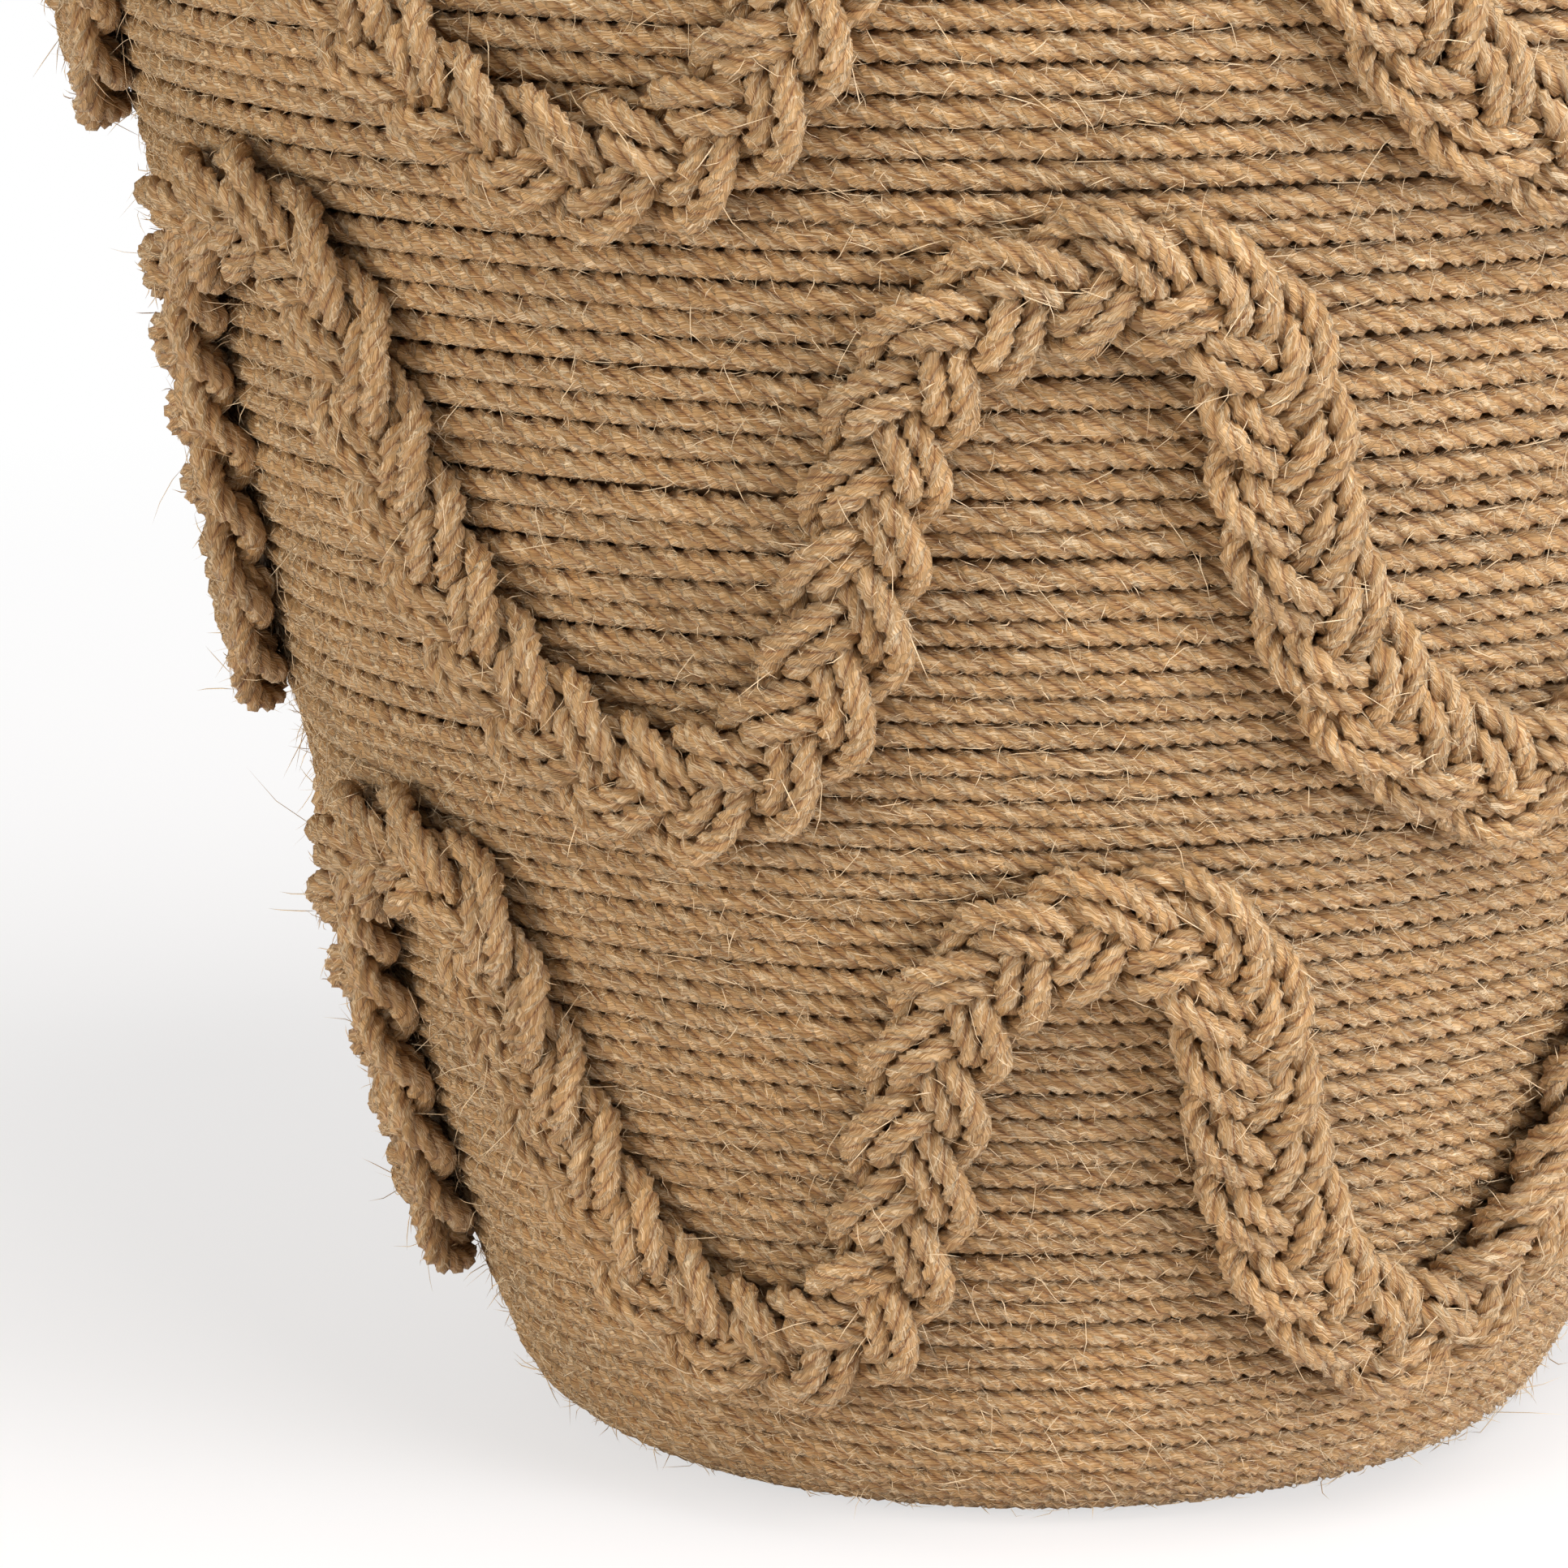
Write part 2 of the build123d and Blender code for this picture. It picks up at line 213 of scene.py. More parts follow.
def section_curve(name, corners):
    """A closed flat curve through corners, each an angle and a reach at unit size."""
    curve = bpy.data.curves.new(name, "CURVE")
    spline = curve.splines.new("POLY")
    spline.points.add(len(corners) - 1)
    for point, (turn, reach) in zip(spline.points, corners):
        angle = math.radians(turn)
        point.co = (reach * math.cos(angle), reach * math.sin(angle), 0, 1)
    spline.use_cyclic_u = True
    section = bpy.data.objects.new(name, curve)
    bpy.context.scene.collection.objects.link(section)
    return section


PLIES = 3
PLY_TURN = 360 / PLIES


def ply_section(name, groove, shoulder, reach):
    """A rope's section: each ply rises from a groove to two shoulders."""
    shape = ((-PLY_TURN / 2, groove), (-shoulder, reach), (shoulder, reach))
    corners = [(turn + PLY_TURN * ply, out) for ply in range(PLIES) for turn, out in shape]
    return section_curve(name, corners)


PRESSED_SECTION = ply_section("pressed_section", groove=0.66, shoulder=24, reach=0.99)
OPEN_SECTION = ply_section("open_section", groove=0.63, shoulder=23, reach=0.98)
FIBRE_SECTION = section_curve("fibre_section", [(turn, 1.0) for turn in (90, 210, 330)])

# Corners closer than the gap are one, and corners within this share of a ply are on the groove
WELD_GAP = 1e-6
GROOVE_SHARE = 0.01


def swept(name, section, lines, closed=False, upright=False):
    """A piece swept along lines of points, each with a turn and a thickness at every point.

    Its map runs in metres along each line, one line after another, and from 0 to 1 around.
    """
    curve = bpy.data.curves.new(name, "CURVE")
    curve.dimensions = "3D"
    curve.twist_mode = "Z_UP" if upright else "MINIMUM"
    curve.bevel_mode = "OBJECT"
    curve.bevel_object = section
    curve.use_fill_caps = not closed
    for points, turn, thickness in lines:
        spline = curve.splines.new("POLY")
        spline.points.add(len(points) - 1)
        spline.points.foreach_set("co", np.column_stack([points, np.ones(len(points))]).ravel())
        spline.points.foreach_set("tilt", turn)
        spline.points.foreach_set("radius", thickness)
        spline.use_cyclic_u = closed
    sweep = bpy.data.objects.new(name, curve)
    bpy.context.scene.collection.objects.link(sweep)
    mesh = bpy.data.meshes.new_from_object(sweep.evaluated_get(bpy.context.evaluated_depsgraph_get()))
    bpy.data.objects.remove(sweep)
    stretch_map(mesh, len(section.data.splines[0].points), lines, closed)
    weld(mesh)
    piece = bpy.data.objects.new(name, mesh)
    bpy.context.scene.collection.objects.link(piece)
    return piece


def stretch_map(mesh, corners, lines, closed):
    """Give the map its length in metres, with each line starting where the last one ended."""
    faces_each = [corners * (len(points) - (0 if closed else 1)) for points, _, _ in lines]
    spans = [run_lengths(points)[-1] for points, _, _ in lines]
    starts = np.concatenate([[0], np.cumsum(spans)[:-1]])
    mapped = np.zeros(2 * len(mesh.loops), np.float32)
    layer = mesh.uv_layers[0]
    layer.uv.foreach_get("vector", mapped)
    mapped = mapped.reshape(-1, 2)
    walls = 4 * sum(faces_each)
    span = np.repeat(spans, 4 * np.array(faces_each))
    start = np.repeat(starts, 4 * np.array(faces_each))
    mapped[-walls:, 0] = mapped[-walls:, 0] * span + start
    layer.uv.foreach_set("vector", mapped.ravel())


def weld(mesh):
    """Close the caps and tips of a swept mesh."""
    work = bmesh.new()
    work.from_mesh(mesh)
    bmesh.ops.remove_doubles(work, verts=work.verts, dist=WELD_GAP)
    work.to_mesh(mesh)
    work.free()


def break_grooves(mesh):
    """Part the shading of neighbouring plies along the grooves."""
    corner = np.zeros(len(mesh.loops), np.int32)
    mesh.loops.foreach_get("vertex_index", corner)
    mapped = np.zeros(2 * len(mesh.loops), np.float32)
    mesh.uv_layers[0].uv.foreach_get("vector", mapped)
    place = mapped[1::2] * PLIES
    groove = np.zeros(len(mesh.vertices), bool)
    groove[corner] = np.abs(place - np.round(place)) < GROOVE_SHARE
    ends = np.zeros(2 * len(mesh.edges), np.int32)
    mesh.edges.foreach_get("vertices", ends)
    mesh.edges.foreach_set("use_edge_sharp", groove[ends.reshape(-1, 2)].all(axis=1))


def laid_rope(name, ropes, section, upright=False):
    """A piece of three-ply rope along its lines."""
    lines = [(rope.points, rope.turn, rope.radius) for rope in ropes]
    piece = swept(name, section, lines, ropes[0].closed, upright)
    break_grooves(piece.data)
    return piece


def dress(piece, body, slot, material, *nodes):
    """Give a piece its finish, the body that it rides on and the nodes that it stands for."""
    piece.data.materials.clear()
    piece.data.materials.append(material)
    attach(piece, body)
    if nodes:
        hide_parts(*nodes)


# Rope wound round the wall and the lid

TURN_SAMPLES = 300


def row_length(turn, eye, pitch, change=math.inf, later_pitch=0.0):
    """Length along the outline after so many turns: the first one steps out further."""
    s = eye + EYE_STEP * np.minimum(turn, 1.0) + pitch * turn
    late = np.maximum(s - change, 0.0)
    return s - late + late * later_pitch / pitch


def turn_at(s, eye, pitch, change=math.inf, later_pitch=1.0):
    """Turns made at a length past the first turn."""
    late = max(s - change, 0.0)
    return (s - late - eye - EYE_STEP) / pitch + late / later_pitch


def outward_of(angle, way):
    """The normal of a turned outline, at an angle about the axis and at the heading there."""
    return np.column_stack([np.sin(angle) * np.sin(way), -np.cos(angle) * np.sin(way), -np.cos(way)])


def wound(path, rows, ends, lays, swells):
    """Ropes wound end to end along an outline, between turns and each with its lay and radius.

    The last one runs on along the edge and thins out in the room that its last row leaves there.
    """
    edge = ends[-1]
    ends = (*ends[:-1], edge + TAIL_TURNS)
    turn = np.linspace(ends[0], ends[-1], int((ends[-1] - ends[0]) * TURN_SAMPLES))
    room = np.clip(edge + 1 - turn, 0, 1)
    s = row_length(np.minimum(turn, edge), *rows) + ROPE_RADIUS * (1 - room)
    near = np.interp(s, path[0], path[1]) * 2 * math.pi * np.gradient(turn)
    rough_length = np.cumsum(near)
    r, z, way = (np.interp(s + drift(rough_length, *ROW_DRIFT), path[0], axis) for axis in path[1:])
    bulge = drift(rough_length, *BULGE_DRIFT)
    angle = 2 * math.pi * turn
    out = outward_of(angle, way) * np.sign(way[-1])
    points = np.column_stack([r * np.sin(angle), -r * np.cos(angle), z]) + out * bulge[:, None]
    length = run_lengths(points)
    thinned = np.maximum(room, TAIL_END)
    start, ropes = 0.0, []
    for first, last, lay, swell in zip(ends, ends[1:], lays, swells):
        low, high = np.interp([first, last], turn, length)
        at = np.linspace(low, high, ring_count(high - low, lay))
        line, outward = resampled(points, length, at), resampled(out, length, at)
        ropes.append(Rope(line, outward, lay, swell * np.interp(at, length, thinned), start))
        start = ropes[-1].turn[-1]
    return ropes


def wall_ropes():
    """The base coil and the four lengths wound up the wall, by name."""
    path = wall_outline(ROPE_RADIUS, EYE_RADIUS)
    change = np.interp(PITCH_CHANGE_HEIGHT, path[2], path[0])
    rows = (0.0, LOWER_PITCH, change, UPPER_PITCH)
    base = turn_at(BASE_RADIUS - EYE_RADIUS + BASE_RISE, *rows)
    middle, top = turn_at(change, *rows), turn_at(path[0][-1] - ROPE_RADIUS, *rows)
    ends = (0.0, base, (base + middle) / 2, middle, (middle + top) / 2, top)
    names = ("base_rope", "wall_rope_1", "wall_rope_2", "wall_rope_3", "wall_rope_4")
    lays = (LOWER_LAY,) * 3 + (UPPER_LAY,) * 2
    swells = (LOWER_SWELL,) * 3 + (UPPER_SWELL,) * 2
    return dict(zip(names, wound(path, rows, ends, lays, swells)))


def lid_ropes():
    """The two lengths wound over the lid, by name."""
    path = lid_outline(ROPE_RADIUS, LID_APEX)
    rows = (LID_EYE_RADIUS, LID_PITCH)
    edge = turn_at(path[0][-1] - ROPE_RADIUS, *rows)
    ropes = wound(path, rows, (0.0, edge / 2, edge), (LID_LAY,) * 2, (LID_SWELL,) * 2)
    return dict(zip(("lid_rope_1", "lid_rope_2"), ropes))


def ring_rope(radius, height, lay, thickness):
    """A closed ring of rope."""
    count = ring_count(2 * math.pi * radius, lay)
    angle = np.linspace(0, 2 * math.pi, count, endpoint=False)
    outward = np.column_stack([np.sin(angle), -np.cos(angle), 0 * angle])
    return Rope(outward * radius + [0, 0, height], outward, lay, thickness, closed=True)


# Wavy braids

ROUTE_SAMPLES = 6000


def wave_route(middle, swing, crest):
    """A braid's closed route over the wall, evenly spaced, with the wall's normal along it."""
    t = np.linspace(0, 2 * math.pi * WAVES, ROUTE_SAMPLES + 1)
    advance = (t + CREST_PINCH * np.sin(t)
               + LEG_STEEPNESS * np.sin(2 * t) + LEG_LEAN * np.cos(2 * t))
    height = middle + swing * np.cos(t) + CREST_FLATNESS * np.cos(2 * t)
    angle = math.radians(crest) + advance / WAVES
    r, way = (np.interp(height, WALL[2], axis) for axis in (WALL[1], WALL[3]))
    points = np.column_stack([r * np.sin(angle), -r * np.cos(angle), height])
    normal = outward_of(angle, way)
    length = run_lengths(points)
    at = np.linspace(0, length[-1], ROUTE_SAMPLES, endpoint=False)
    normal = unit(resampled(normal, length, at))
    return resampled(points, length, at), normal, at, length[-1]


def along(points):
    """The direction at each point of a closed line."""
    return unit(np.roll(points, -1, axis=0) - np.roll(points, 1, axis=0))


def closed_drift(at, whole, span, amount):
    """A smooth wander that comes back to its start."""
    wander = drift(at, span, amount)
    fade = np.clip((whole - at) / span, 0, 1)
    return wander * fade + wander[0] * (1 - fade)


def braid_ropes(row):
    """The ropes of each strand of a three-strand braid that follows a wave."""
    points, normal, at, whole = wave_route(*row)
    side = np.cross(normal, along(points))
    periods = round(whole / BRAID_PERIOD)
    phase = 2 * math.pi * periods * at / whole + closed_drift(at, whole, *BRAID_PHASE_DRIFT)
    centre = points + side * closed_drift(at, whole, *BRAID_CENTRE_DRIFT)[:, None]
    strands = []
    for strand in range(BRAID_STRANDS):
        swing = phase + 2 * math.pi * strand / BRAID_STRANDS
        reach = BRAID_REACH * (1 + closed_drift(at, whole, *STRAND_REACH_DRIFT)) * np.sin(swing)
        over = np.tanh(-CROSSING_SHARPNESS * np.sin(2 * swing)) / math.tanh(CROSSING_SHARPNESS)
        lift = BRAID_LIFT * (1 + over) + BRAID_ROPE_RADIUS
        middle = centre + side * reach[:, None] + normal * lift[:, None]
        across = unit(np.cross(along(middle), normal))
        roll = closed_drift(at, whole, *STRAND_ROLL_DRIFT)[:, None]
        across = across * np.cos(roll) + normal * np.sin(roll)
        ropes = []
        for place in range(STRAND_ROPES):
            offset = (place - (STRAND_ROPES - 1) / 2) * STRAND_ROPE_STEP
            offset = offset + closed_drift(at, whole, *ROPE_SPLAY_DRIFT)
            rise = closed_drift(at, whole, *ROPE_RISE_DRIFT)
            line = middle + across * offset[:, None] + normal * rise[:, None]
            loop = np.vstack([line, line[:1]])
            length = run_lengths(loop)
            count = ring_count(length[-1], BRAID_ROPE_LAY)
            spots = np.linspace(0, length[-1], count, endpoint=False)
            even = resampled(loop, length, spots)
            outward = resampled(np.vstack([normal, normal[:1]]), length, spots)
            ropes.append(Rope(even, outward, BRAID_ROPE_LAY, BRAID_ROPE_RADIUS, closed=True))
        strands.append(ropes)
    return strands


# Loose fibres, with angles in radians

FIBRE_RADIUS, FIBRE_THICKNESS = 0.12 * MM, (0.6, 1.3)
FIBRE_ROOT, FIBRE_HEADING = 0.85, 0.9
FIBRE_LIFT, FIBRE_DROOP, FIBRE_CURL = (0.08, 0.4), 1.3, 0.5
LENGTH_SHAPE, SHORTEST_PART = 2.2, 2.5
HAIR_LENGTHS, FUZZ_LENGTHS = (7 * MM, 14 * MM), (3.5 * MM, 7 * MM)
FIBRE_SPREAD, BRAID_FIBRE_SPREAD = 1.4, 1.6
WALL_HAIRS, WALL_HAIRS_GAIN, WALL_FUZZ = 1500, 800, 12000
BRAID_HAIRS, BRAID_FUZZ = 6000, 16000
LID_HAIRS, LID_FUZZ = 2500, 5000

# Places along a fibre, each with its share of the thickness
HAIR_STATIONS = ((0.0, 0.0), (0.3, 1.0), (0.68, 0.8), (1.0, 0.0))
FUZZ_STATIONS = ((0.0, 0.0), (0.45, 1.0), (1.0, 0.0))


def loose_fibres(name, ropes, count, spread, stations, usual, longest):
    """Hairs that stand off the ropes: thin spindles, rooted on the outer side."""
    points = np.concatenate([rope.points for rope in ropes])
    outward = np.concatenate([rope.outward for rope in ropes])
    way = np.concatenate([unit(np.gradient(rope.points, axis=0)) for rope in ropes])
    radius = np.concatenate([rope.radius for rope in ropes])
    pick = rng.integers(0, len(points), count)
    around = rng.uniform(-spread, spread, count)[:, None]
    out = outward[pick] * np.cos(around) + np.cross(outward[pick], way[pick]) * np.sin(around)
    root = points[pick] + out * radius[pick, None] * FIBRE_ROOT
    heading = rng.normal(0, FIBRE_HEADING, count)[:, None]
    flow = way[pick] * np.cos(heading) + np.cross(out, way[pick]) * np.sin(heading)
    flow = flow * rng.choice([-1, 1], count)[:, None]
    length = rng.gamma(LENGTH_SHAPE, usual / LENGTH_SHAPE, count)
    length = np.clip(length, usual / SHORTEST_PART, longest)[:, None]
    lift = rng.uniform(*FIBRE_LIFT, count)[:, None]
    curl = rng.normal(0, FIBRE_CURL, count)[:, None]
    bend = np.cross(out, flow)
    thick = FIBRE_RADIUS * rng.uniform(*FIBRE_THICKNESS, count)
    spots = []
    for u, _ in stations:
        spot = root + length * (flow * u + out * lift * u * (FIBRE_DROOP - u) + bend * curl * u * u)
        spot[:, 2] = np.maximum(spot[:, 2], FIBRE_RADIUS)
        spots.append(spot)
    lines = [(hair, np.zeros(len(hair)), [thick[k] * share for _, share in stations])
             for k, hair in enumerate(np.stack(spots, axis=1))]
    return swept(name, FIBRE_SECTION, lines)


def add_fibres(name, body, slot, ropes, hairs, fuzz, spread=FIBRE_SPREAD):
    """Long hairs and short fuzz on a body's ropes."""
    for piece in (loose_fibres(name + "_hairs", ropes, hairs, spread, HAIR_STATIONS, *HAIR_LENGTHS),
                  loose_fibres(name + "_fuzz", ropes, fuzz, spread, FUZZ_STATIONS, *FUZZ_LENGTHS)):
        dress(piece, body, slot, LOOSE_FIBRE)


# Materials

def node(tree, kind, inputs=(), **settings):
    """A shader node with its settings, and its inputs set or linked by name."""
    made = tree.nodes.new(kind)
    for key, value in settings.items():
        setattr(made, key, value)
    for key, value in dict(inputs).items():
        if isinstance(value, bpy.types.NodeSocket):
            tree.links.new(value, made.inputs[key])
        else:
            made.inputs[key].default_value = value
    return made


def maths(tree, operation, *values):
    """The result of a calculation with values or sockets."""
    return node(tree, "ShaderNodeMath", dict(enumerate(values)), operation=operation).outputs[0]


def times(tree, first, second):
    return maths(tree, "MULTIPLY", first, second)


def added(tree, first, second):
    return maths(tree, "ADD", first, second)


def blend_colour(tree, share, first, second, kind="MIX"):
    """Two colours blended by a share: the node takes colours at 6 and 7 and gives one at 2."""
    mix = node(tree, "ShaderNodeMix", {0: share, 6: first, 7: second}, data_type="RGBA", blend_type=kind)
    return mix.outputs[2]


def colour_ramp(tree, share, stops):
    """A colour ramp: each stop is a place and a colour."""
    made = node(tree, "ShaderNodeValToRGB", {0: share})
    ramp = made.color_ramp
    while len(ramp.elements) < len(stops):
        ramp.elements.new(0.5)
    for element, (place, colour) in zip(ramp.elements, stops):
        element.position, element.color = place, (*colour, 1)
    return made.outputs[0]


def flat_noise(tree, run, across, detail):
    """Noise over a flat map."""
    spot = node(tree, "ShaderNodeCombineXYZ", {0: run, 1: across}).outputs[0]
    inputs = {"Vector": spot, "Scale": 1.0, "Detail": detail, "Roughness": 0.6}
    return node(tree, "ShaderNodeTexNoise", inputs, noise_dimensions="2D").outputs[0]


def scaled_noise(tree, run, across, run_scale, across_scale, detail):
    """Noise over a flat map, with a scale for each way."""
    return flat_noise(tree, times(tree, run, run_scale), times(tree, across, across_scale), detail)


def solid_noise(tree, place, scale, detail):
    """Noise through space."""
    inputs = {"Vector": place, "Scale": scale, "Detail": detail}
    return node(tree, "ShaderNodeTexNoise", inputs).outputs[0]


def spread_out(tree, value, low, high, least=0.0, most=1.0):
    """A value between two ends brought to new ends, and held there."""
    return node(tree, "ShaderNodeMapRange", {0: value, 1: low, 2: high, 3: least, 4: most}).outputs[0]


def group(name, inputs, outputs):
    """An empty node group that takes a map and named values, and gives named values."""
    tree = bpy.data.node_groups.new(name, "ShaderNodeTree")
    tree.interface.new_socket("Map", in_out="INPUT", socket_type="NodeSocketVector")
    for label in inputs:
        tree.interface.new_socket(label, in_out="INPUT", socket_type="NodeSocketFloat")
    for label in outputs:
        tree.interface.new_socket(label, in_out="OUTPUT", socket_type="NodeSocketFloat")
    return tree, tree.nodes.new("NodeGroupInput").outputs, tree.nodes.new("NodeGroupOutput").inputs


# Jute fibres in the material: each noise has its scale along and across the rope and its detail
FIBRE_WIDTH, STAPLE_LENGTH = 0.26 * MM, 9 * MM
STREAK_DETAIL = 3.0
BUNDLE_NOISE = (0.5, 0.22, 2.0)
WANDER_NOISE, WANDER_AMOUNT = (90.0, 2.0, 1.0), 0.15
PLY_NOISE = (0.3, 7.3, 1.0)
# Each ply's crown over its grooves: it shapes the bump, and the painted shade that darkens the grooves
CROWN_RISE, CROWN_ROUNDING = 3.2, 0.4
# The crease is a thin dark line of painted shade along each groove; broken patches are random dark marks
# in the same colour
CREASE_WIDTH, CREASE_RAGGEDNESS = 0.075, 0.16
BROKEN_NOISE, BROKEN_EDGE, BROKEN_SHARE = (190.0, 190.0, 1.0), (0.55, 0.65), 0.6
FLAT_HAIR_TURNS = (30, -14)
FLAT_HAIR_NOISE, FLAT_HAIR_EDGE = (180.0, 900.0, 1.0), (0.015, 0.045)
HAIR_GAP_NOISE, HAIR_GAP_EDGE = (260.0, 420.0, 0.0), (0.51, 0.60)


def flat_hairs(tree, run, around, turn):
    """Thin broken lines over a map in metres, turned from the way that it runs."""
    cos, sin = math.cos(math.radians(turn)), math.sin(math.radians(turn))
    ahead = added(tree, times(tree, run, cos), times(tree, around, sin))
    aside = maths(tree, "SUBTRACT", times(tree, around, cos), times(tree, run, sin))
    lines = scaled_noise(tree, ahead, aside, *FLAT_HAIR_NOISE)
    gaps = scaled_noise(tree, ahead, aside, *HAIR_GAP_NOISE)
    away = maths(tree, "ABSOLUTE", maths(tree, "SUBTRACT", lines, 0.5))
    line = spread_out(tree, away, *FLAT_HAIR_EDGE, 1.0, 0.0)
    return times(tree, line, spread_out(tree, gaps, *HAIR_GAP_EDGE))


def fibre_group():
    """Jute fibres along a rope's map: streaks, bundles, each ply's tone, its crown, a crease of painted
    shade along the grooves with random dark patches, and flat hairs.
    """
    tree, given, out = group(
        "jute_fibres", ("Girth", "Skew"), ("Streak", "Bundle", "Ply", "Crown", "Crease", "Hair"))
    metres, share, _ = node(tree, "ShaderNodeSeparateXYZ", {0: given["Map"]}).outputs
    around = times(tree, share, given["Girth"])
    across = added(tree, around, times(tree, metres, given["Skew"]))
    run = maths(tree, "DIVIDE", metres, STAPLE_LENGTH)
    fine = maths(tree, "DIVIDE", across, FIBRE_WIDTH)
    streak = flat_noise(tree, run, fine, STREAK_DETAIL)
    bundle = scaled_noise(tree, run, fine, *BUNDLE_NOISE)
    wander = maths(tree, "SUBTRACT", scaled_noise(tree, metres, share, *WANDER_NOISE), 0.5)
    place = added(tree, times(tree, share, float(PLIES)), times(tree, wander, WANDER_AMOUNT))
    ply = scaled_noise(tree, run, maths(tree, "FLOOR", place), *PLY_NOISE)
    # 0 in a groove and 1 on a ply's crown: the mask for the painted groove shade and for the bump
    inward = maths(tree, "PINGPONG", place, 0.5)
    crown = maths(tree, "SMOOTH_MIN", times(tree, inward, CROWN_RISE), 1.0, CROWN_ROUNDING)
    ragged = times(tree, maths(tree, "SUBTRACT", streak, 0.5), CREASE_RAGGEDNESS)
    # A thin ragged line of painted shade along each groove
    groove = spread_out(tree, added(tree, inward, ragged), 0.0, CREASE_WIDTH)
    broken = scaled_noise(tree, metres, around, *BROKEN_NOISE)
    broken = spread_out(tree, broken, *BROKEN_EDGE, 0.0, BROKEN_SHARE)
    crease = maths(tree, "MAXIMUM", groove, broken)
    hairs = [flat_hairs(tree, metres, around, turn) for turn in FLAT_HAIR_TURNS]
    for socket, end in zip((streak, bundle, ply, crown, crease, maths(tree, "MAXIMUM", *hairs)), out):
        tree.links.new(socket, end)
    return tree


JUTE_FIBRES = fibre_group()

# Colours of jute and board, and how much their fibres, clouds, flecks and stains do
JUTE_STOPS = ((0.0, (0.29, 0.130, 0.034)), (0.35, (0.51, 0.272, 0.088)),
              (0.62, (0.69, 0.408, 0.168)), (1.0, (0.94, 0.720, 0.46)))
# Painted shade multiplied into the grooves between the plies, strongest in the groove
JUTE_GROOVE_SHADE = (0.88, 0.78, 0.66, 1)
# Painted shade: the dark line along each groove, also used for random dark patches
JUTE_CREASE_SHADE = (0.46, 0.31, 0.19, 1)
JUTE_HAIR = (0.90, 0.70, 0.44, 1)
FIBRE_SKEW = -0.8
STREAK_SHARE, BUNDLE_SHARE, FLAT_HAIR_SHARE = 0.7, 0.3, 0.62
STREAK_RANGE = (0.33, 0.67)
CLOUD_SCALE, CLOUD_DETAIL = 28.0, 2.0
TONE_RANGE, PLY_TONES, CLOUD_TONES = (0.3, 0.7), (0.90, 1.08), (0.89, 1.09)
CROWN_HEIGHT, FLAT_HAIR_HEIGHT = 1.2, 0.5
LOOSE_STOPS = ((0.3, (0.34, 0.19, 0.075)), (0.45, (0.72, 0.50, 0.26)), (0.65, (0.95, 0.80, 0.58)))
BOARD_STOPS = ((0.3, (0.22, 0.13, 0.065)), (0.5, (0.34, 0.215, 0.115)), (0.7, (0.47, 0.32, 0.185)))
# Dark brown for the covered outer side: glue, and painted shade in the gaps between the rows of rope
BOARD_GLUE_AND_SHADE = (0.24, 0.130, 0.055, 1)
FLECK_SCALE, FLECK_DETAIL, FLECK_SHARE = 420.0, 4.0, 0.6
STAIN_SCALE, STAIN_DETAIL, STAIN_SHARE = 14.0, 3.0, 0.4


def new_material(name):
    """A material with its tree and its surface shader."""
    made = bpy.data.materials.new(name)
    made.use_nodes = True
    return made, made.node_tree, made.node_tree.nodes["Principled BSDF"]


def jute(name, radius, lay):
    """Matt, hairy jute: fibres streak along the plies, and shade is painted darker into the grooves
    between them.
    """
    made, tree, shader = new_material(name)
    surface = node(tree, "ShaderNodeUVMap", uv_map="UVMap").outputs[0]
    girth = 2 * math.pi * radius
    inputs = {"Map": surface, "Girth": girth, "Skew": FIBRE_SKEW * girth / lay}
    fibres = node(tree, "ShaderNodeGroup", inputs, node_tree=JUTE_FIBRES).outputs
    streaks = times(tree, fibres["Streak"], STREAK_SHARE)
    blend = added(tree, streaks, times(tree, fibres["Bundle"], BUNDLE_SHARE))
    spread = spread_out(tree, blend, *STREAK_RANGE)
    colour = colour_ramp(tree, spread, JUTE_STOPS)
    here = node(tree, "ShaderNodeTexCoord").outputs["Object"]
    cloud = solid_noise(tree, here, CLOUD_SCALE, CLOUD_DETAIL)
    tone = times(tree, spread_out(tree, fibres["Ply"], *TONE_RANGE, *PLY_TONES),
                 spread_out(tree, cloud, *TONE_RANGE, *CLOUD_TONES))
    # Painted shade: the colour darkens from each ply's crown down into its grooves
    groove = blend_colour(tree, fibres["Crown"], JUTE_GROOVE_SHADE, (1, 1, 1, 1))
    # Painted shade: a dark line along each groove, and random dark patches
    groove = blend_colour(tree, fibres["Crease"], JUTE_CREASE_SHADE, groove)
    colour = blend_colour(tree, 1.0, colour, groove, "MULTIPLY")
    colour = blend_colour(tree, 1.0, colour, tone, "MULTIPLY")
    colour = blend_colour(tree, times(tree, fibres["Hair"], FLAT_HAIR_SHARE), colour, JUTE_HAIR)
    tree.links.new(colour, shader.inputs["Base Color"])
    height = added(tree, spread, times(tree, fibres["Crown"], CROWN_HEIGHT))
    height = added(tree, times(tree, fibres["Hair"], FLAT_HAIR_HEIGHT), height)
    bump = node(tree, "ShaderNodeBump", {"Strength": 0.9, "Distance": 0.35 * MM, "Height": height})
    tree.links.new(bump.outputs[0], shader.inputs["Normal"])
    shader.inputs["Roughness"].default_value = 0.54
    shader.inputs["Specular IOR Level"].default_value = 0.6
    shader.inputs["Sheen Weight"].default_value = 0.06
    shader.inputs["Sheen Roughness"].default_value = 0.4
    return made


def loose_fibre():
    """Single jute hairs, from straw to brown."""
    made, tree, shader = new_material("loose_fibre")
    surface = node(tree, "ShaderNodeUVMap", uv_map="UVMap").outputs[0]
    each = node(tree, "ShaderNodeTexNoise", {"Vector": surface, "Scale": 90.0, "Detail": 1.0},
                noise_dimensions="2D").outputs[0]
    tree.links.new(colour_ramp(tree, each, LOOSE_STOPS), shader.inputs["Base Color"])
    shader.inputs["Roughness"].default_value = 0.6
    return made


